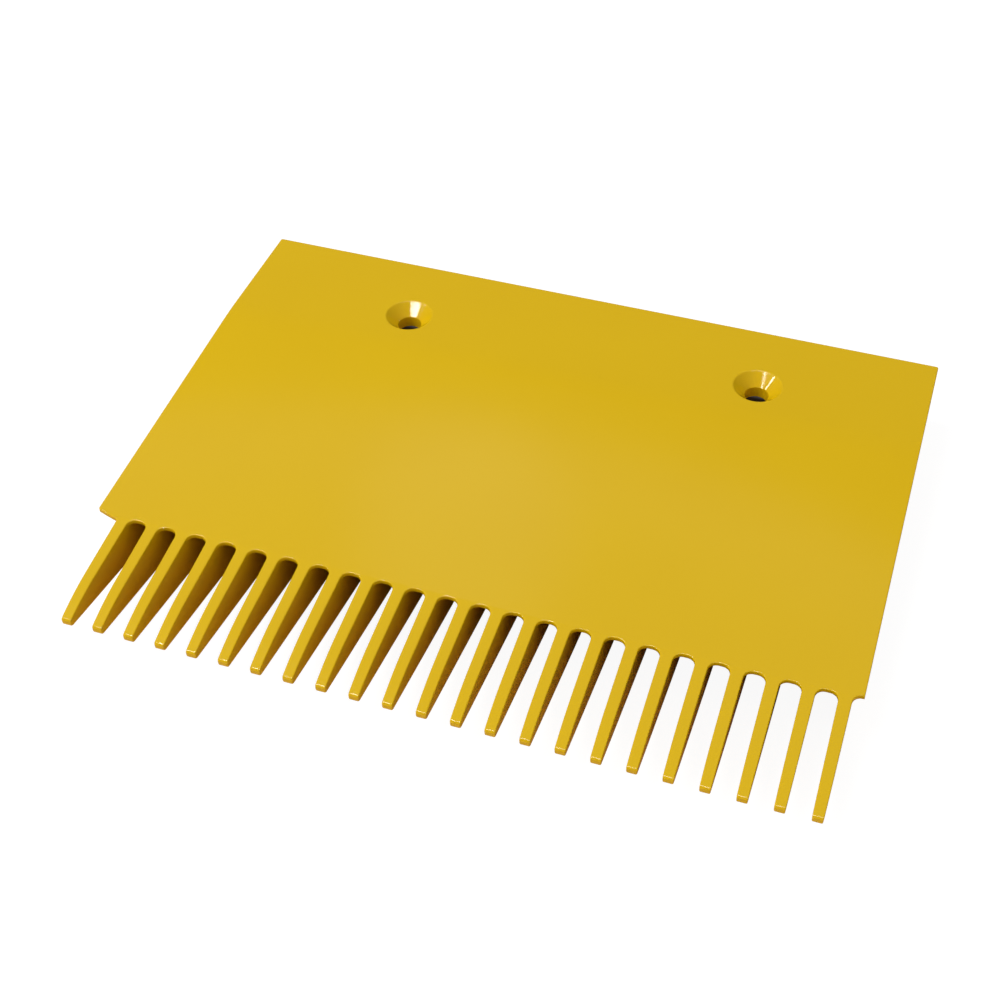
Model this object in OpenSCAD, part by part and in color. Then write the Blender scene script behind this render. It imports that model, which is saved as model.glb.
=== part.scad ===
// Comb segment of a moving walkway: one casting, divided into its deck plate and its teeth.
// Origin: middle of the line through the two screw holes, on the underside that seats on the carrier.
// +X runs along the row of teeth, +Y towards the back edge, +Z up. Millimetres and degrees.

/* [Deck plate] */
// Thickness of the flat land at the back, over the seat
deck_thick = 6.8; // [5:0.1:10]
// Length of the flat land, from the back edge to the bend
land_length = 36.8; // [32:0.1:50]
// Length of the ramp, from the bend to the slot ends
ramp_length = 81.7; // [60:0.1:100]
// Thickness of the ramp's lip, where it ends in the slots
lip_thick = 1.35; // [1:0.05:3]
// Radius of the gentle bend between land and ramp
bend_r = 150; // [20:5:300]
// Distance from the back ends of the ribs to the machined seat under the plate
seat_gap = 5; // [1:0.5:20]
// How far the seat stands out below the rest of the underside
seat_step = 0.4; // [0.2:0.05:1]
// Width of the margin beyond the row of teeth, on the left
left_margin = 3.7; // [2:0.1:8]
// Gap left on the right for the next segment
right_gap = 0.1; // [0:0.05:0.3]
// Radius of the upright corners
corner_r = 0.6; // [0.2:0.1:2]

/* [Screw holes] */
// Distance between the two screw holes
screw_spacing = 102; // [60:0.5:150]
// Distance from the screw holes to the back edge
screw_to_back = 23.3; // [12:0.1:24]
// Clearance hole of the screw
screw_bore_d = 6.6; // [5:0.1:8]
// Diameter of the countersink at the top face
countersink_d = 13.4; // [11:0.1:15]
// Full angle of the countersink
countersink_angle = 90; // [82:1:100]

/* [Row of teeth] */
// Distance from one tooth to the next
tooth_pitch = 8.467; // [8.2:0.001:9.2]
// Number of teeth
tooth_count = 23; // [20:1:28]
// How far the middle of the row lies to the right of the middle of the screw holes
row_shift = -0.35; // [-5:0.05:5]

/* [Tooth] */
// Length of a tooth, from the slot ends to its nose
tooth_length = 32.35; // [25:0.05:45]
// Width of a tooth on top, at the slot ends
root_width = 3.24; // [2.9:0.02:3.4]
// Width of a tooth on top, at its nose
nose_width = 2.78; // [2.5:0.02:2.9]
// Slope of the top of a tooth
top_slope = 6.35; // [4:0.05:8]
// Length over which the top of a tooth bends down to its nose
nose_bend = 13.5; // [6:0.5:20]
// Radius of that bend
nose_bend_r = 65; // [50:1:150]
// Height of the nose
nose_height = 2.25; // [2:0.05:3.5]
// Radius at the top of the nose
nose_top_r = 0.8; // [0.2:0.05:1]
// Radius at the bottom of the nose
nose_bottom_r = 1.2; // [0.2:0.05:1.3]
// Slope of the lower edge of a tooth
lower_slope = 9.65; // [7:0.05:13]
// Draft of the flanks: going down, each one leans in by this angle
flank_draft = 2.2; // [0.5:0.1:3]

/* [Slot ends] */
// Radius of the two corners at the end of a slot
slot_corner_r = 2.2; // [1:0.05:2.3]
// How far the deck's left front corner is set back
left_setback = 0.95; // [0.6:0.05:1.5]
// Angle of the slanting front edge between that corner and the first tooth
left_slant = 18; // [5:1:25]
// How far the deck's right front corner is set back
right_setback = 0.7; // [0.2:0.1:1.2]
// Radius of the corner beside the last tooth
right_corner_r = 2.4; // [1.5:0.05:2.4]

/* [Rib under the deck] */
// How far the lower edge of a tooth runs on behind the slot ends
rib_run = 12; // [6:0.5:20]
// Slope of the back of a rib
rib_back_slope = 40; // [30:1:60]
// Radius of a rib's heel
heel_r = 5; // [2:0.5:8]

/* [Hidden] */
coat_yellow = [0.86, 0.70, 0.15];
deck_length = land_length + ramp_length;
y_slot_ends = screw_to_back - deck_length;
row_width = tooth_count * tooth_pitch;
x_row = row_shift - row_width / 2;
x_left = x_row - left_margin;
x_right = x_row + row_width - right_gap;
countersink_depth = (countersink_d - screw_bore_d) / 2 / tan(countersink_angle / 2);
// Height of the underside in front of the seat, and of the lip's top at the slot ends
underside = seat_step;
lip_top = underside + lip_thick;
// How far a fillet at a tooth's root reaches into the flank and the edge that it runs out on
fillet_bite = 0.05;
// How far the slanting edge would reach in front of the slot ends at the middle of the first tooth
left_reach = (left_margin + tooth_pitch / 2) * tan(left_slant) - left_setback;
// Where the teeth part from the deck plate, in front of the slot ends and of every fillet
root_line = max(slot_corner_r, right_corner_r - right_setback, left_reach) + fillet_bite;
// What a cut reaches past the faces it goes through, and the size of a block that cuts everything on one side
past = 1;
half_space = 200;
arc_steps = 8;
$fn = 64;

// Heights of a tooth's top and of its lower edge, and half its width, with y counted from the slot ends
bend_start = nose_bend - tooth_length;
function tooth_top(y) = lip_top + y * tan(top_slope) - pow(min(y - bend_start, 0), 2) / 2 / nose_bend_r;
function tooth_low(y) = tooth_top(-tooth_length) - nose_height - (y + tooth_length) * tan(lower_slope);
y_rib_ends = rib_run + (underside - tooth_low(rib_run)) / tan(rib_back_slope);
seat_front = y_rib_ends + seat_gap;
flank_taper = (root_width - nose_width) / 2 / tooth_length - tan(flank_draft) * tan(top_slope);
function half_width(y, z) = root_width / 2 + y * flank_taper + (z - lip_top) * tan(flank_draft);

// Where a fillet of radius r runs out on the flank of a tooth, counted from the middle of the tooth
function fillet_x(r, edge) = half_width(edge - r, underside) - fillet_bite;

function tooth_x(n) = x_row + (n - 0.5) * tooth_pitch;
function tooth_name(n) = str("tooth_", n < 10 ? "0" : "", n);

// Points of an arc of radius r that rounds the corner b between a and c
function rounded(a, b, c, r) =
    let (to_a = (a - b) / norm(a - b),
         to_c = (c - b) / norm(c - b),
         half = acos(to_a * to_c) / 2,
         centre = b + r / sin(half) * (to_a + to_c) / norm(to_a + to_c),
         start = b + r / tan(half) * to_a - centre,
         turn = (180 - 2 * half) * sign(cross(to_c, to_a)))
    [for (k = [0 : arc_steps])
        let (angle = turn * k / arc_steps)
        centre + [start.x * cos(angle) - start.y * sin(angle), start.x * sin(angle) + start.y * cos(angle)]];

// Stands an outline drawn in Y and Z up and gives it a width along X
module side_extrude(width) {
    rotate([90, 0, 90])
        linear_extrude(width, center = true)
            children();
}

// Solid of a concave corner in plan, from a flank at x = 0 to a deck edge at y = edge
module plan_fillet(edge, r) {
    translate([0, edge - r + fillet_bite])
        difference() {
            translate([-past, 0]) square([r + past, r]);
            translate([r, 0]) circle(r);
        }
}

// What rounds an upright corner at the origin whose material lies towards +X and +Y
module corner_waste() {
    difference() {
        translate([-past, -past]) square(corner_r + past);
        translate([corner_r, corner_r]) circle(corner_r);
    }
}

// Left front of the deck, from its outer edge to the middle of the first tooth at x = 0
module left_front() {
    outer = -left_margin - tooth_pitch / 2;
    back = [outer, left_setback + 2 * past];
    inner = [0, -left_reach];
    polygon(concat(rounded(back, [outer, left_setback], inner, corner_r), [inner, [0, back.y], back]));
}

// Outline of the deck from above, with y counted from the slot ends
module deck_plan() {
    x_last = tooth_x(tooth_count) + fillet_x(right_corner_r, right_setback);
    y_front = left_setback + past;
    translate([tooth_x(1), 0]) left_front();
    difference() {
        translate([x_left, y_front]) square([x_right - x_left, deck_length - y_front]);
        translate([x_left, deck_length]) mirror([0, 1]) corner_waste();
        translate([x_right, deck_length]) mirror([1, 0]) mirror([0, 1]) corner_waste();
    }
    translate([tooth_x(1), 0]) square([x_last - tooth_x(1), y_front + past]);
    intersection() {
        translate([tooth_x(tooth_count), 0]) square([x_right - tooth_x(tooth_count), y_front + past]);
        union() {
            translate([x_last, 0]) plan_fillet(right_setback, right_corner_r);
            translate([x_last, right_setback]) square([tooth_pitch, y_front]);
        }
    }
}

// Outline of the deck from the side: ramp, gentle bend and flat land, and the seat's step underneath
module deck_profile() {
    lip = [0, lip_top];
    bend = [ramp_length, deck_thick];
    back = [deck_length, deck_thick];
    polygon(concat([[0, underside], lip], rounded(lip, bend, back, bend_r),
                   [back, [deck_length, 0], [seat_front, 0], [seat_front - seat_step, underside]]));
}

// Through bore and countersink of one screw, from the seat up
module screw_hole() {
    spread = tan(countersink_angle / 2);
    translate([0, 0, -past])
        cylinder(h = deck_thick + 2 * past, d = screw_bore_d);
    translate([0, 0, deck_thick - countersink_depth])
        cylinder(h = countersink_depth + past, d1 = screw_bore_d, d2 = countersink_d + 2 * past * spread);
}

// Everything to the right of a tooth's right flank, which tapers to the nose and leans in going down
module flank_waste() {
    turn = -atan(flank_taper);
    lean = atan(tan(flank_draft) * cos(turn));
    translate([root_width / 2, 0, lip_top])
        rotate([0, lean, turn])
            translate([0, -half_space / 2, -half_space / 2]) cube(half_space);
}

// A side outline given the width that a tooth has between its two flanks
module between_flanks() {
    difference() {
        side_extrude(root_width + 2 * past) children();
        flank_waste();
        mirror([1, 0, 0]) flank_waste();
    }
}

// Outline from the side of a tooth's root: the stub that the deck plate carries in front of the slot ends
module root_profile() {
    polygon([[-root_line, underside], [-root_line, tooth_top(-root_line)],
             [0, lip_top], [past, lip_top], [past, underside]]);
}

// A tooth's root with what rounds the end of the slot on each side, or with the deck's slanting left front
module tooth_root(n) {
    right_r = n == tooth_count ? right_corner_r : slot_corner_r;
    right_edge = n == tooth_count ? right_setback : 0;
    between_flanks() root_profile();
    intersection() {
        side_extrude(4 * tooth_pitch) root_profile();
        linear_extrude(lip_top) {
            if (n == 1) left_front();
            else translate([-fillet_x(slot_corner_r, 0), 0]) mirror([1, 0]) plan_fillet(0, slot_corner_r);
            translate([fillet_x(right_r, right_edge), 0]) plan_fillet(right_edge, right_r);
        }
    }
}

// Deck plate with the roots of all teeth
module deck_plate() {
    color(coat_yellow)
        translate([0, y_slot_ends, 0])
            difference() {
                union() {
                    intersection() {
                        linear_extrude(deck_thick) deck_plan();
                        side_extrude(2 * half_space) deck_profile();
                    }
                    for (n = [1 : tooth_count])
                        translate([tooth_x(n), 0, 0]) tooth_root(n);
                }
                for (x = [-screw_spacing / 2, screw_spacing / 2])
                    translate([x, -y_slot_ends, 0]) screw_hole();
            }
}

// Outline of a tooth from the side: top, round nose, lower edge, and the round heel of the rib under the deck
module tooth_profile() {
    root = [-root_line, tooth_top(-root_line)];
    bend = [for (k = [0 : arc_steps - 1]) let (y = bend_start - nose_bend * k / arc_steps) [y, tooth_top(y)]];
    nose_top = [-tooth_length, tooth_top(-tooth_length)];
    nose_bottom = [-tooth_length, tooth_low(-tooth_length)];
    heel = [rib_run, tooth_low(rib_run)];
    rib_end = [y_rib_ends, underside];
    polygon(concat([[-root_line, underside], root], bend,
                   rounded(bend[arc_steps - 1], nose_top, nose_bottom, nose_top_r),
                   rounded(nose_top, nose_bottom, heel, nose_bottom_r),
                   rounded(nose_bottom, heel, rib_end, heel_r),
                   [rib_end]));
}

// One tooth, from its nose to its root, with the rib that it runs on into under the deck
module tooth(n) {
    color(coat_yellow)
        translate([tooth_x(n), y_slot_ends, 0])
            between_flanks() tooth_profile();
}

deck_plate();
for (n = [1 : tooth_count])
    tooth(n);
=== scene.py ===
# Comb segment of a moving walkway: one yellow powder-coated casting, lying on a pale studio floor.
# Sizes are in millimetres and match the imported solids; meshes are made in metres.

import math

import bmesh
import bpy
from mathutils import Matrix, Vector, geometry


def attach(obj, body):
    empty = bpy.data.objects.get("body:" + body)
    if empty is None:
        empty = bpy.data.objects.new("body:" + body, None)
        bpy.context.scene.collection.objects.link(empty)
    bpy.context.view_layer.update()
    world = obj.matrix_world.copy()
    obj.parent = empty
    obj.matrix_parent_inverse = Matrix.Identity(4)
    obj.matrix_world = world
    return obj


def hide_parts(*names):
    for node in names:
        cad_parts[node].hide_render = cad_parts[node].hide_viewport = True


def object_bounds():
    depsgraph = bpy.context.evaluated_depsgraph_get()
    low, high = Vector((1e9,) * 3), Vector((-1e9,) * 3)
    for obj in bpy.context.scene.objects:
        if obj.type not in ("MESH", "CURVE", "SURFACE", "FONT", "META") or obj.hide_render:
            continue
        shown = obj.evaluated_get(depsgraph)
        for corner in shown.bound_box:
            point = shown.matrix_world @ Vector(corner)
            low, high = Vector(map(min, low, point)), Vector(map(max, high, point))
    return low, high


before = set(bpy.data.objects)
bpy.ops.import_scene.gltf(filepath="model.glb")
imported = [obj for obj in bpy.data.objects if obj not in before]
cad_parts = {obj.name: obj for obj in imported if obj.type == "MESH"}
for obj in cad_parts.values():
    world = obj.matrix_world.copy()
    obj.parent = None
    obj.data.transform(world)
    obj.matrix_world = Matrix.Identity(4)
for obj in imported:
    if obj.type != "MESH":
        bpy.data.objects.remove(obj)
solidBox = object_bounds()
mm = 0.001
print("frame loaded:", len(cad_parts), "nodes")

# Camera

cameraSettings = {
    "place": (94.716, -345.603, 298.578),
    "turn": (45.558, 0.4733, 18.4892),  # degrees about X, Y, Z
    "lens": 58.8856,
    "sensor": 36.0,
    "clip": (0.01, 20.0),  # metres
}


def addCamera(s):
    data = bpy.data.cameras.new("photoCamera")
    data.lens = s["lens"]
    data.sensor_width = s["sensor"]
    data.clip_start, data.clip_end = s["clip"]
    camera = bpy.data.objects.new("photoCamera", data)
    bpy.context.scene.collection.objects.link(camera)
    camera.location = [v * mm for v in s["place"]]
    camera.rotation_euler = [math.radians(v) for v in s["turn"]]
    bpy.context.scene.camera = camera


addCamera(cameraSettings)
print("camera placed")

# Form of the casting, with y counted from the ends of the slots

form = {
    "teeth": 23,
    "pitch": 8.467,
    "rowShift": -0.35,
    "screwSpacing": 102.0,
    "screwToBack": 23.3,
    "boreRadius": 3.3,
    "sinkRadius": 6.7,
    "deckThick": 6.8,
    "landLength": 36.8,
    "rampLength": 81.7,
    "lipThick": 1.35,
    "bendRadius": 150.0,
    "seatStep": 0.4,
    "seatGap": 5.0,
    "leftMargin": 3.7,
    "rightGap": 0.1,
    "cornerRadius": 0.6,
    "leftSetback": 0.95,
    "leftSlant": 18.0,
    "rightSetback": 0.7,
    "slotFillet": 2.2,
    "rightFillet": 2.4,
    "filletBite": 0.05,
    "toothLength": 32.35,
    "rootWidth": 3.24,
    "noseWidth": 2.78,
    "topSlope": 6.35,
    "noseBend": 13.5,
    "noseBendRadius": 65.0,
    "noseHeight": 2.25,
    "noseTopRadius": 0.8,
    "noseBottomRadius": 1.2,
    "lowerSlope": 9.65,
    "draft": 2.2,
    "ribRun": 12.0,
    "ribBackSlope": 40.0,
    "heelRadius": 5.0,
}

deckLength = form["landLength"] + form["rampLength"]
slotEndsY = form["screwToBack"] - deckLength
rowX = form["rowShift"] - form["teeth"] * form["pitch"] / 2
leftX = rowX - form["leftMargin"]
rightX = rowX + form["teeth"] * form["pitch"] - form["rightGap"]
underside = form["seatStep"]
lipTop = underside + form["lipThick"]
rampSlope = (form["deckThick"] - lipTop) / form["rampLength"]
topTan = math.tan(math.radians(form["topSlope"]))
lowTan = math.tan(math.radians(form["lowerSlope"]))
draftTan = math.tan(math.radians(form["draft"]))
bendReach = form["bendRadius"] * math.tan(math.atan(rampSlope) / 2)
slantTan = math.tan(math.radians(form["leftSlant"]))
leftReach = (form["leftMargin"] + form["pitch"] / 2) * slantTan - form["leftSetback"]
rootLine = max(form["slotFillet"], form["rightFillet"] - form["rightSetback"], leftReach) + form["filletBite"]
noseBendStart = form["noseBend"] - form["toothLength"]


def deckTop(y):
    bend = form["rampLength"]
    if y < 0:
        return lipTop + y * topTan - min(y - noseBendStart, 0) ** 2 / (2 * form["noseBendRadius"])
    if y < bend - bendReach:
        return lipTop + y * rampSlope
    if y < bend + bendReach:  # gentle bend, an arc that leaves the flat land at its back end
        return form["deckThick"] - (bend + bendReach - y) ** 2 / (2 * form["bendRadius"])
    return form["deckThick"]


def toothLow(y):
    noseLow = deckTop(-form["toothLength"]) - form["noseHeight"]
    return noseLow - (y + form["toothLength"]) * lowTan


def halfWidth(y, z):
    taper = (form["rootWidth"] - form["noseWidth"]) / 2 / form["toothLength"]
    return form["rootWidth"] / 2 + y * (taper - draftTan * topTan) + (z - lipTop) * draftTan


ribBackTan = math.tan(math.radians(form["ribBackSlope"]))
ribEnd = form["ribRun"] + (underside - toothLow(form["ribRun"])) / ribBackTan
seatFront = ribEnd + form["seatGap"]


def deckLow(y):
    return underside * min(max((seatFront - y) / form["seatStep"], 0.0), 1.0)


def toothX(n):
    return rowX + (n - 0.5) * form["pitch"]


def arcPoints(centre, radius, start, end, steps):
    angles = [math.radians(start + (end - start) * k / steps) for k in range(steps + 1)]
    return [(centre[0] + radius * math.cos(a), centre[1] + radius * math.sin(a)) for a in angles]


def roundedCorner(a, b, c, radius, steps):
    a, b, c = Vector(a), Vector(b), Vector(c)
    toA, toC = (a - b).normalized(), (c - b).normalized()
    half = math.acos(toA.dot(toC)) / 2
    centre = b + (toA + toC).normalized() * radius / math.sin(half)
    start = b + toA * radius / math.tan(half) - centre
    end = b + toC * radius / math.tan(half) - centre
    turn = math.atan2(start.x * end.y - start.y * end.x, start.dot(end))
    out = []
    for k in range(steps + 1):
        w = turn * k / steps
        out.append((centre.x + start.x * math.cos(w) - start.y * math.sin(w),
                    centre.y + start.x * math.sin(w) + start.y * math.cos(w)))
    return out


def inwardAt(points, k, cutEdges):
    # Step from corner k that moves both of its edges inwards by one; along a cut edge it only slides
    count = len(points)
    here = Vector(points[k])
    before = (here - Vector(points[k - 1])).normalized()
    after = (Vector(points[(k + 1) % count]) - here).normalized()
    inBefore = Vector((-before.y, before.x))
    inAfter = Vector((-after.y, after.x))
    steep = 0.2  # least slant of an edge against the cut for the corner to slide along the cut
    if (k - 1) % count in cutEdges and k in cutEdges:
        return Vector((0, 0))
    if (k - 1) % count in cutEdges:
        return before / before.dot(inAfter) if abs(before.dot(inAfter)) > steep else inAfter
    if k in cutEdges:
        return after / after.dot(inBefore) if abs(after.dot(inBefore)) > steep else inBefore
    return (inBefore + inAfter) / (1 + inBefore.dot(inAfter))


def closedMesh(name, points, faces):
    mesh = bpy.data.meshes.new(name)
    mesh.from_pydata([[v * mm for v in p] for p in points], [], faces)
    mesh.validate()
    check = bmesh.new()
    check.from_mesh(mesh)
    bmesh.ops.recalc_face_normals(check, faces=check.faces)
    openEdges = sum(1 for e in check.edges if not e.is_manifold)
    volume = check.calc_volume(signed=True)
    if volume < 0:
        bmesh.ops.reverse_faces(check, faces=check.faces)
    check.to_mesh(mesh)
    check.free()
    print(name, "faces", len(mesh.polygons), "open edges", openEdges,
          "volume mm3", round(abs(volume) / mm**3, 1))
    return mesh


def cutFill(loops, chords):
    # Triangles between an outer loop and its holes, with extra edges across, as indices into the joined loops
    points = [p for loop in loops for p in loop]
    edges = list(chords)
    first = 0
    for loop in loops:
        edges += [(first + k, first + (k + 1) % len(loop)) for k in range(len(loop))]
        first += len(loop)
    insideOnly, samePoint = 1, 1e-5  # keeps what lies inside the loops; points this near are one
    got = geometry.delaunay_2d_cdt([Vector(p) for p in points], edges, [], insideOnly, samePoint)
    source = [ids[0] for ids in got[3]]
    holes = []
    for loop in loops[1:]:
        middle = sum((Vector(p) for p in loop), Vector((0, 0))) / len(loop)
        holes.append((middle, (Vector(loop[0]) - middle).length))
    faces = []
    for face in got[2]:
        centre = sum((Vector(points[source[v]]) for v in face), Vector((0, 0))) / 3
        if all((centre - middle).length > radius for middle, radius in holes):
            faces.append([source[v] for v in face])
    return faces


# Deck plate

deckSettings = {
    "topRim": 0.3,
    "lowRim": 0.25,
    "lowRimFade": 40.0,  # degrees of a slot's fillet over which the lower rim gets its full size
    "rimSteps": 5,
    "filletSteps": 10,
    "meetSteps": 20,
    "endGap": 0.6,
    "nookRadius": 0.4,
    "cornerSteps": 4,
    "bendSteps": 12,
    "holeSteps": 96,
    "sinkRim": 0.8,
    "boreRim": 0.25,
}


def deckOutline(s):
    # Corners of the plate from above, anticlockwise: place, kind, and how far the lower rim is rounded there
    corner, setback = form["cornerRadius"], form["rightSetback"]
    steps = s["filletSteps"]
    out = []

    def fillet(n, side, radius, edge):
        start = edge - radius
        centre = (toothX(n) + side * (halfWidth(start, deckTop(start)) + radius), start)
        creaseAngle = math.degrees(math.asin(min((0 - start) / (radius + s["topRim"]), 1)))
        angles = sorted({90 * k / steps for k in range(steps + 1)} | {creaseAngle})
        for a in angles if side > 0 else reversed(angles):
            turn = math.radians(180 - a if side > 0 else a)
            place = (centre[0] + radius * math.cos(turn), centre[1] + radius * math.sin(turn))
            if place[0] > rightX - s["endGap"]:  # the last arc runs out at the right edge
                continue
            kind = "crease" if a == creaseAngle else "front"
            out.append((place, kind, s["lowRim"] * min(a / s["lowRimFade"], 1)))

    def slant(y):
        return (leftX + (form["leftSetback"] - y) / slantTan, y)

    def meet(y):
        return (toothX(1) - halfWidth(y, deckTop(y)), y)

    outer = (leftX, form["leftSetback"])
    low = -leftReach
    for _ in range(s["meetSteps"]):  # where the slanting edge meets the flank of the first tooth
        low = form["leftSetback"] - (meet(low)[0] - leftX) * slantTan
    for p in roundedCorner((leftX, deckLength), outer, slant(0), corner, s["cornerSteps"]):
        out.append((p, "side", s["lowRim"]))
    out.append((slant(-s["topRim"] * math.cos(math.radians(form["leftSlant"]))), "slantCrease", s["lowRim"]))
    nook = roundedCorner(outer, meet(low), meet(-rootLine), s["nookRadius"], s["cornerSteps"])
    for k, p in enumerate(nook):
        out.append((p, "front", s["lowRim"] * (1 - k / s["cornerSteps"])))
    count = form["teeth"]
    for n in range(1, count + 1):
        if n > 1:
            fillet(n, -1, form["slotFillet"], 0)
        for side in (-1, 1):
            out.append(((toothX(n) + side * halfWidth(-rootLine, deckTop(-rootLine)), -rootLine),
                        "cut" if side < 0 else "front", 0))
        fillet(n, 1, form["rightFillet"] if n == count else form["slotFillet"], setback if n == count else 0)
    out.append(((rightX, setback), "side", s["lowRim"]))
    bend = form["rampLength"]
    stations = [seatFront - form["seatStep"], seatFront]
    stations += [bend + bendReach * (2 * k / s["bendSteps"] - 1) for k in range(s["bendSteps"] + 1)]
    for y in stations:
        out.append(((rightX, y), "station", s["lowRim"]))
    for p in arcPoints((rightX - corner, deckLength - corner), corner, 0, 90, s["cornerSteps"]):
        out.append((p, "side", s["lowRim"]))
    for p in arcPoints((leftX + corner, deckLength - corner), corner, 90, 180, s["cornerSteps"]):
        out.append((p, "side", s["lowRim"]))
    for y in reversed(stations):
        out.append(((leftX, y), "station", s["lowRim"]))
    return out


def holeProfile(s):
    # Radius and height down a screw hole, from the top face to the seat, with both rims and the knee rounded
    top, sink, bore = form["deckThick"], form["sinkRadius"], form["boreRadius"]
    steps = s["rimSteps"]
    rollTan = math.tan(math.radians(45 / 2))  # radii that a rim through 45 degrees takes of each face
    reach = s["sinkRim"] * rollTan
    out = []
    for k in range(steps + 1):
        a = math.radians(45 * k / steps)
        out.append((sink + reach - s["sinkRim"] * math.sin(a), top - s["sinkRim"] * (1 - math.cos(a))))
    knee = top - (sink - bore)
    reach = s["boreRim"] * rollTan
    for k in range(steps + 1):
        a = math.radians(45 + 45 * k / steps)
        out.append((bore + s["boreRim"] * (1 - math.sin(a)), knee - reach + s["boreRim"] * math.cos(a)))
    for k in range(steps + 1):
        a = math.radians(90 * k / steps)
        out.append((bore + s["lowRim"] * (1 - math.cos(a)), s["lowRim"] * (1 - math.sin(a))))
    return out


def buildDeck(s):
    outline = deckOutline(s)
    corners = [o[0] for o in outline]
    count = len(corners)
    cuts = {k for k in range(count) if outline[k][1] == "cut"}
    inward = [inwardAt(corners, k, cuts) for k in range(count)]
    drafted = [o[1] in ("front", "crease", "cut") for o in outline]
    points, faces = [], []
    for k in range(s["rimSteps"] + 1):
        a = math.radians(90 * (1 - k / s["rimSteps"]))
        inset, drop = s["topRim"] * (1 - math.cos(a)), s["topRim"] * (1 - math.sin(a))
        for c, step in zip(corners, inward):
            x, y = c[0] + step.x * inset, c[1] + step.y * inset
            points.append((x, y, deckTop(y) - drop))
    for k in range(s["rimSteps"] + 1):
        a = math.radians(90 * k / s["rimSteps"])
        for c, step, o, lean in zip(corners, inward, outline, drafted):
            inset = o[2] * (1 - math.cos(a)) + (draftTan * (deckTop(c[1]) - underside) if lean else 0)
            x, y = c[0] + step.x * inset, c[1] + step.y * inset
            points.append((x, y, deckLow(c[1]) + o[2] * (1 - math.sin(a))))
    rings = 2 * (s["rimSteps"] + 1)
    for r in range(rings - 1):
        for k in range(count):
            n = (k + 1) % count
            faces.append([r * count + k, (r + 1) * count + k, (r + 1) * count + n, r * count + n])

    profile = holeProfile(s)
    circle = [(math.cos(2 * math.pi * k / s["holeSteps"]), math.sin(2 * math.pi * k / s["holeSteps"]))
              for k in range(s["holeSteps"])]
    holeStarts = []
    for side in (-1, 1):
        holeStarts.append(len(points))
        middle = (side * form["screwSpacing"] / 2, -slotEndsY)
        for radius, height in profile:
            points += [(middle[0] + radius * c[0], middle[1] + radius * c[1], height) for c in circle]
        for r in range(len(profile) - 1):
            for k in range(len(circle)):
                n = (k + 1) % len(circle)
                a = holeStarts[-1] + r * len(circle)
                faces.append([a + k, a + n, a + len(circle) + n, a + len(circle) + k])

    def cap(ring, holeRing, chords, up):
        starts = [ring * count] + [h + holeRing * len(circle) for h in holeStarts]
        loops = [[points[ring * count + k][:2] for k in range(count)]]
        loops += [[points[h + k][:2] for k in range(len(circle))] for h in starts[1:]]
        index = [ring * count + k for k in range(count)]
        index += [h + k for h in starts[1:] for k in range(len(circle))]
        for face in cutFill(loops, chords):
            made = [index[v] for v in face]
            faces.append(made if up else made[::-1])

    stations = [k for k in range(count) if outline[k][1] == "station"]
    across = list(zip(stations, reversed(stations)))[: len(stations) // 2]
    creases = [k for k in range(count) if outline[k][1] in ("crease", "slantCrease")]
    cap(0, 0, across[2:] + list(zip(creases[::2], creases[1::2])), True)
    cap(rings - 1, len(profile) - 1, across[:2], False)
    return closedMesh("deckCasting", [(x, y + slotEndsY, z) for x, y, z in points], faces)


# Teeth

toothSettings = {
    "rim": 0.3,
    "rimSteps": 5,
    "bendSteps": 10,
    "noseSteps": 8,
    "heelSteps": 8,
}


def buildTooth(s):
    length = form["toothLength"]
    root = (-rootLine, deckTop(-rootLine))
    bend = [(y, deckTop(y)) for y in (noseBendStart - form["noseBend"] * k / s["bendSteps"]
                                      for k in range(s["bendSteps"]))]
    noseTop = (-length, deckTop(-length))
    noseLow = (-length, toothLow(-length))
    heel = (form["ribRun"], toothLow(form["ribRun"]))
    back = (ribEnd, underside)
    outline = roundedCorner(noseTop, noseLow, heel, form["noseBottomRadius"], s["noseSteps"])
    outline += roundedCorner(noseLow, heel, back, form["heelRadius"], s["heelSteps"])
    outline += [back, (-rootLine, underside), root] + bend
    outline += roundedCorner(bend[-1], noseTop, noseLow, form["noseTopRadius"], s["noseSteps"])
    count = len(outline)
    backAt = outline.index(back)
    cuts = {backAt, backAt + 1}
    inward = [inwardAt(outline, k, cuts) for k in range(count)]
    points, faces = [], []
    turns = [90 * (1 - k / s["rimSteps"]) for k in range(s["rimSteps"] + 1)]
    for side, angles in ((1, turns), (-1, turns[::-1])):
        for angle in angles:
            a = math.radians(angle)
            inset, narrow = s["rim"] * (1 - math.cos(a)), s["rim"] * (1 - math.sin(a))
            for c, step in zip(outline, inward):
                y, z = c[0] + step.x * inset, c[1] + step.y * inset
                points.append((side * (halfWidth(y, z) - narrow), y, z))
    rings = 2 * len(turns)
    for r in range(rings - 1):
        for k in range(count):
            n = (k + 1) % count
            faces.append([r * count + k, r * count + n, (r + 1) * count + n, (r + 1) * count + k])
    faces.append(list(range(count)))
    faces.append([(rings - 1) * count + k for k in reversed(range(count))])
    return closedMesh("toothCasting", [(x, y + slotEndsY, z) for x, y, z in points], faces)


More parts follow.
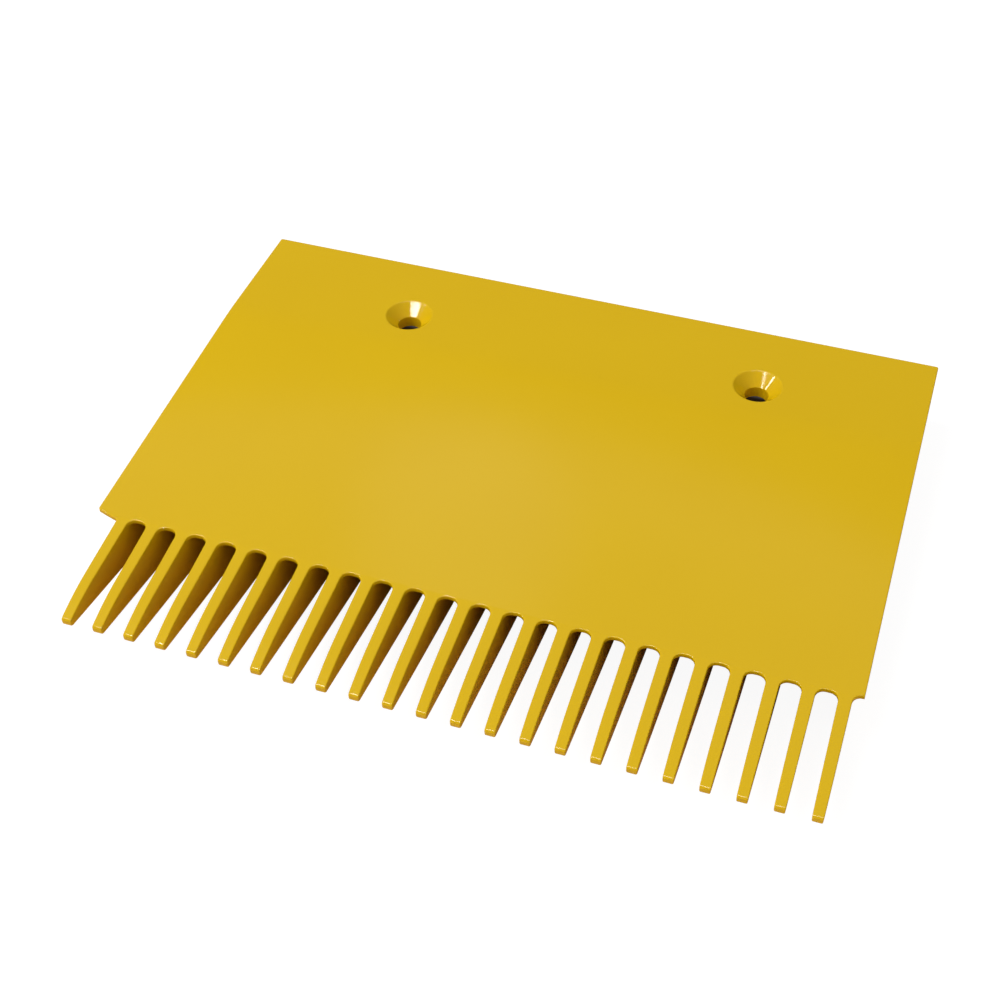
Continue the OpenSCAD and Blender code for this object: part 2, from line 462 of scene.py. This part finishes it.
def rowTree(coat):
    # Repeats one tooth along X: a line of points with the tooth on each
    tree = bpy.data.node_groups.new("toothRow", "GeometryNodeTree")
    face = tree.interface
    face.new_socket("Tooth", in_out="INPUT", socket_type="NodeSocketGeometry")
    for name, kind, value in (("Teeth", "NodeSocketInt", 3), ("Pitch", "NodeSocketFloat", 0.008),
                              ("First tooth", "NodeSocketFloat", 0.0)):
        face.new_socket(name, in_out="INPUT", socket_type=kind).default_value = value
    face.new_socket("Row", in_out="OUTPUT", socket_type="NodeSocketGeometry")

    def add(kind, **settings):
        node = tree.nodes.new(kind)
        for key, value in settings.items():
            setattr(node, key, value)
        return node

    given, result = add("NodeGroupInput"), add("NodeGroupOutput")
    line = add("GeometryNodeMeshLine", mode="OFFSET")
    start, offset = add("ShaderNodeCombineXYZ"), add("ShaderNodeCombineXYZ")
    copies, whole = add("GeometryNodeInstanceOnPoints"), add("GeometryNodeRealizeInstances")
    paint = add("GeometryNodeSetMaterial")
    paint.inputs["Material"].default_value = coat
    for a, b in ((given.outputs["Teeth"], line.inputs["Count"]),
                 (given.outputs["First tooth"], start.inputs["X"]),
                 (given.outputs["Pitch"], offset.inputs["X"]),
                 (start.outputs[0], line.inputs["Start Location"]),
                 (offset.outputs[0], line.inputs["Offset"]),
                 (line.outputs["Mesh"], copies.inputs["Points"]),
                 (given.outputs["Tooth"], copies.inputs["Instance"]),
                 (copies.outputs["Instances"], whole.inputs["Geometry"]),
                 (whole.outputs["Geometry"], paint.inputs["Geometry"]),
                 (paint.outputs["Geometry"], result.inputs["Row"])):
        tree.links.new(a, b)
    return tree


def buildRow(coat):
    tooth = bpy.data.objects.new("toothPattern", buildTooth(toothSettings))
    bpy.context.scene.collection.objects.link(tooth)
    size = len(tooth.data.vertices)
    modifier = tooth.modifiers.new("row", "NODES")
    modifier.node_group = rowTree(coat)
    values = {"Teeth": form["teeth"], "Pitch": form["pitch"] * mm, "First tooth": toothX(1) * mm}
    for item in modifier.node_group.interface.items_tree:
        if item.in_out == "INPUT" and item.name in values:
            modifier[item.identifier] = values[item.name]
    bpy.context.view_layer.update()
    evaluated = tooth.evaluated_get(bpy.context.evaluated_depsgraph_get())
    row = bpy.data.meshes.new_from_object(evaluated)
    pieces = []
    for n in range(form["teeth"]):
        part = bmesh.new()
        part.from_mesh(row)
        part.verts.ensure_lookup_table()
        others = [v for v in part.verts if not n * size <= v.index < (n + 1) * size]
        bmesh.ops.delete(part, geom=others, context="VERTS")
        mesh = bpy.data.meshes.new(f"toothCasting_{n + 1:02d}")
        part.to_mesh(mesh)
        part.free()
        pieces.append(mesh)
    bpy.data.objects.remove(tooth)
    bpy.data.meshes.remove(row)
    return pieces


# Yellow powder coat

coatSettings = {
    "yellow": (0.7, 0.45, 0.0028, 1.0),
    "deeper": (0.675, 0.425, 0.0022, 1.0),
    "roughness": 0.09,
    "peelSize": 1.4,
    "peelDepth": 0.002,
    "grainSize": 0.22,
    "grainDepth": 0.0012,
    "speckCell": 9.0,
    "speckRadius": 0.35,
    "speckShare": 0.07,
    "speckTone": (0.78, 0.62, 0.25, 1.0),
    "cloudsPerMetre": 28.0,
    "roughSpread": 0.04,
    "ior": 1.5,
}


class Sum:
    # A number socket that adds Math nodes when it is used in an expression
    def __init__(self, graph, socket):
        self.graph, self.socket = graph, socket

    def join(self, operation, a, b):
        node = self.graph.add("ShaderNodeMath", {"operation": operation}, {0: a, 1: b})
        return Sum(self.graph, node.outputs[0])

    def __add__(self, other):
        return self.join("ADD", self, other)

    def __mul__(self, other):
        return self.join("MULTIPLY", self, other)

    def __sub__(self, other):
        return self.join("SUBTRACT", self, other)

    def __rsub__(self, other):
        return self.join("SUBTRACT", other, self)

    def __abs__(self):
        return self.join("ABSOLUTE", self, 0.0)

    def __gt__(self, other):
        return self.join("GREATER_THAN", self, other)

    def blend(self, low, high):
        # Runs smoothly from 0 at low to 1 at high, or the other way round
        if low > high:
            return 1 - self.blend(high, low)
        smooth = {"interpolation_type": "SMOOTHSTEP"}
        node = self.graph.add("ShaderNodeMapRange", smooth, {0: self, 1: low, 2: high})
        return Sum(self.graph, node.outputs[0])

    __radd__ = __add__
    __rmul__ = __mul__


class Graph:
    def __init__(self, tree):
        self.tree = tree
        tree.nodes.clear()

    def add(self, kind, settings=None, values=None):
        node = self.tree.nodes.new(kind)
        for key, value in (settings or {}).items():
            setattr(node, key, value)
        for key, value in (values or {}).items():
            if isinstance(value, Sum):
                value = value.socket
            if isinstance(value, bpy.types.NodeSocket):
                self.tree.links.new(value, node.inputs[key])
            else:
                node.inputs[key].default_value = value
        return node


def coatMaterial(s):
    material = bpy.data.materials.new("yellowCoat")
    material.use_nodes = True
    g = Graph(material.node_tree)
    place = g.add("ShaderNodeTexCoord").outputs["Object"]

    def noise(scale, detail):
        values = {"Vector": place, "Scale": scale, "Detail": detail}
        return g.add("ShaderNodeTexNoise", {}, values).outputs["Fac"]

    def mixed(factor, a, b):
        return g.add("ShaderNodeMix", {"data_type": "RGBA"}, {0: factor, 6: a, 7: b}).outputs[2]

    cloud = noise(s["cloudsPerMetre"], 3.0)
    peel = Sum(g, noise(1 / (s["peelSize"] * mm), 1.0))
    grain = Sum(g, noise(1 / (s["grainSize"] * mm), 2.0))
    tone = mixed(cloud, s["yellow"], s["deeper"])
    cells = g.add("ShaderNodeTexVoronoi", {}, {"Vector": place, "Scale": 1 / (s["speckCell"] * mm)})
    chance = g.add("ShaderNodeSeparateColor", {}, {0: cells.outputs["Color"]}).outputs[0]
    pick = Sum(g, chance) > 1 - s["speckShare"]
    near = Sum(g, cells.outputs["Distance"]).blend(s["speckRadius"] / s["speckCell"], 0.0)
    tone = mixed(pick * near, tone, s["speckTone"])
    rough = Sum(g, cloud) * s["roughSpread"] + (s["roughness"] - s["roughSpread"] / 2)
    height = peel * (s["peelDepth"] * mm) + grain * (s["grainDepth"] * mm)
    bump = g.add("ShaderNodeBump", {}, {"Strength": 1.0, "Distance": 1.0, "Height": height})
    coat = g.add("ShaderNodeBsdfPrincipled", {}, {
        "Base Color": tone, "Roughness": rough, "Normal": bump.outputs[0], "IOR": s["ior"]})
    g.add("ShaderNodeOutputMaterial", {}, {0: coat.outputs[0]})
    return material


coat = coatMaterial(coatSettings)
finishSettings = {
    "sharpAngle": 35.0,  # degrees; edges above it stay sharp
    "faceWeight": 100,
}


def finish(mesh, name, node):
    mesh.materials.clear()
    mesh.materials.append(coat)
    piece = bpy.data.objects.new(name, mesh)
    bpy.context.scene.collection.objects.link(piece)
    mesh.shade_smooth()
    mesh.set_sharp_from_angle(angle=math.radians(finishSettings["sharpAngle"]))
    weights = piece.modifiers.new("faceWeights", "WEIGHTED_NORMAL")
    weights.keep_sharp = True
    weights.weight = finishSettings["faceWeight"]
    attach(piece, "root")
    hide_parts(node)
    return piece


finish(buildDeck(deckSettings), "deckCasting", "deck_plate")
print("deck plate made")
for n, mesh in enumerate(buildRow(coat), 1):
    finish(mesh, f"toothCasting_{n:02d}", f"tooth_{n:02d}")
print("teeth made:", form["teeth"])

# Studio

studio = {
    "floorSize": 6.0,
    "floorTone": 0.16,
    "floorGlow": 0.93,
    "floorBrown": (0.46, 0.21, 0.09, 1.0),
    "floorBounce": (0.8, 0.58, 0.3, 1.0),
    # painted shadow: the dark colour that the camera sees on the floor under the plate, standing in for its
    # shade
    "paintedShadowTone": (0.085, 0.07, 0.055, 1.0),
    # Two patches of floor, in millimetres: middle and half width along X, then along Y
    "paintedShadowUnderPlate": ((-3.0, 92.0), (-24.0, 49.0)),  # painted shadow: the camera sees the floor here dark, as if in the plate's shade
    "underPart": ((-2.0, 112.0), (-42.0, 86.0)),  # sends brown light back up
    "underSoft": 8.0,
    "skyDiffuse": 0.42,
    "skyRight": 0.35,
    "skyFront": 0.5,
    "skyGloss": ((0.0, 0.03), (0.5, 0.15), (0.62, 0.2), (0.778, 0.16), (0.79, 0.48), (0.805, 0.5),
                 (0.83, 0.39), (0.98, 0.36)),  # height of the reflected direction, and its brightness
    "glossLean": 0.16,
    "bandRise": (0.8, 0.93),  # the bright band overhead, by height and then towards the front
    "bandFront": (-0.07, -0.18),
    "bandGlow": 3.8,
    "umbrella": (-0.25, 0.562, 0.788),  # direction of a small soft light that only shows as a reflection
    "umbrellaReach": (0.025, 0.09),
    "umbrellaGlow": 0.3,
}
# Each lamp is a flat panel: the ends of its long middle line, the point that it faces, and its height
lamps = (
    {"name": "sideLamp", "ends": ((-1524.0, 214.0, 1970.0), (-1107.0, -1069.0, 1970.0)),
     "at": (0.0, 0.0, 0.0), "height": 1800.0, "glow": 6.25, "lights": True, "mirrored": False},
    {"name": "leftSinkLamp", "ends": ((-280.9, -192.9, 243.0), (-66.9, -231.1, 277.8)),
     "at": (-51.0, 0.0, 6.8), "height": 28.0, "glow": 24.0, "lights": False, "mirrored": True},
    {"name": "leftSinkEnd", "ends": ((-56.3, -219.3, 291.4), (-9.9, -220.7, 305.1)),
     "at": (-51.0, 0.0, 6.8), "height": 16.0, "glow": 24.0, "lights": False, "mirrored": True},
    {"name": "rightSinkLamp", "ends": ((-1867.0, -545.0, 1444.0), (-1728.0, -773.0, 1444.0)),
     "at": (51.0, 0.0, 6.8), "height": 250.0, "glow": 22.0, "lights": False, "mirrored": True},
    {"name": "rimLamp", "ends": ((-1008.0, -582.0, 2099.0), (122.0, -1157.0, 2099.0)),
     "at": (0.0, 0.0, 6.8), "height": 380.0, "glow": 7.0, "lights": False, "mirrored": True},
)


def addFloor(s):
    low = solidBox[0][2]
    mesh = bpy.data.meshes.new("floor")
    half = s["floorSize"] / 2
    mesh.from_pydata([(-half, -half, low), (half, -half, low), (half, half, low), (-half, half, low)], [],
                     [(0, 1, 2, 3)])
    floor = bpy.data.objects.new("floor", mesh)
    bpy.context.scene.collection.objects.link(floor)
    material = bpy.data.materials.new("floor")
    material.use_nodes = True
    g = Graph(material.node_tree)
    path = g.add("ShaderNodeLightPath")
    at = g.add("ShaderNodeSeparateXYZ", {}, {0: g.add("ShaderNodeTexCoord").outputs["Object"]})

    def patch(spans):
        inside = 1
        for k, (middle, reach) in enumerate(spans):
            away = abs(Sum(g, at.outputs[k]) - middle * mm)
            inside = away.blend(reach * mm, (reach - s["underSoft"]) * mm) * inside
        return inside

    def matte(colour):
        return g.add("ShaderNodeBsdfDiffuse", {}, {"Color": colour}).outputs[0]

    def mixed(factor, a, b):
        return g.add("ShaderNodeMixShader", {}, {0: factor, 1: a, 2: b}).outputs[0]

    tone = s["floorTone"]
    pale = matte((tone, tone, tone, 1))
    glow = g.add("ShaderNodeEmission", {}, {"Color": (1, 1, 1, 1), "Strength": s["floorGlow"]}).outputs[0]
    seen = g.add("ShaderNodeAddShader", {}, {0: pale, 1: glow}).outputs[0]
    unseen = mixed(patch(s["underPart"]), matte(s["floorBounce"]), matte(s["floorBrown"]))
    # painted shadow: to the camera, the floor under the plate shows the dark painted colour instead of the
    # lit pale floor
    shown = mixed(patch(s["paintedShadowUnderPlate"]), seen, matte(s["paintedShadowTone"]))
    both = mixed(path.outputs["Is Camera Ray"], unseen, shown)
    nothing = g.add("ShaderNodeBsdfTransparent").outputs[0]  # from below the floor is not there
    oneWay = mixed(g.add("ShaderNodeNewGeometry").outputs["Backfacing"], both, nothing)
    g.add("ShaderNodeOutputMaterial", {}, {0: oneWay})
    mesh.materials.append(material)


def addLamp(s):
    ends = [Vector(end) * mm for end in s["ends"]]
    along, place, height = ends[1] - ends[0], (ends[0] + ends[1]) / 2, s["height"] * mm
    data = bpy.data.lights.new(s["name"], "AREA")
    data.shape = "RECTANGLE"
    data.size, data.size_y = along.length, height
    data.energy = s["glow"] * math.pi * along.length * height
    lamp = bpy.data.objects.new(s["name"], data)
    bpy.context.scene.collection.objects.link(lamp)
    x = along.normalized()
    z = place - Vector(s["at"]) * mm
    z = (z - x * z.dot(x)).normalized()
    turned = Matrix((x, z.cross(x), z)).transposed().to_4x4()
    lamp.matrix_world = Matrix.Translation(place) @ turned
    lamp.visible_camera = False
    lamp.visible_glossy = s["mirrored"]
    lamp.visible_diffuse = s["lights"]


def addSky(s):
    # White to the camera; soft light, more of it from the front and the right; a darker room in reflections
    world = bpy.data.worlds.new("studio")
    bpy.context.scene.world = world
    world.use_nodes = True
    g = Graph(world.node_tree)
    path = g.add("ShaderNodeLightPath")
    way = g.add("ShaderNodeSeparateXYZ", {}, {0: g.add("ShaderNodeTexCoord").outputs["Generated"]})
    x, y, z = (Sum(g, way.outputs[k]) for k in range(3))
    ramp = g.add("ShaderNodeValToRGB", {}, {0: z - x * s["glossLean"]})
    stops = ramp.color_ramp.elements
    while len(stops) < len(s["skyGloss"]):
        stops.new(0.5)
    for stop, (place, level) in zip(stops, s["skyGloss"]):
        stop.position = place
        stop.color = (level, level, level, 1)
    band = z.blend(*s["bandRise"]) * y.blend(*s["bandFront"]) * s["bandGlow"]
    off = [part - middle for part, middle in zip((x, y, z), s["umbrella"])]
    away = off[0] * off[0] + off[1] * off[1] + off[2] * off[2]
    near, far = s["umbrellaReach"]
    umbrella = away.blend(far**2, near**2) * s["umbrellaGlow"]
    seen, gloss = Sum(g, path.outputs["Is Camera Ray"]), Sum(g, path.outputs["Is Glossy Ray"])
    soft = (x * s["skyRight"] - y * s["skyFront"] + 1) * s["skyDiffuse"]
    level = seen + gloss * (Sum(g, ramp.outputs[0]) + band + umbrella) + (1 - seen) * (1 - gloss) * soft
    back = g.add("ShaderNodeBackground", {}, {"Color": (1, 1, 1, 1), "Strength": level})
    g.add("ShaderNodeOutputWorld", {}, {0: back.outputs[0]})


addFloor(studio)
for one in lamps:
    addLamp(one)
addSky(studio)
bpy.context.scene.view_settings.view_transform = "Standard"
print("studio lit")
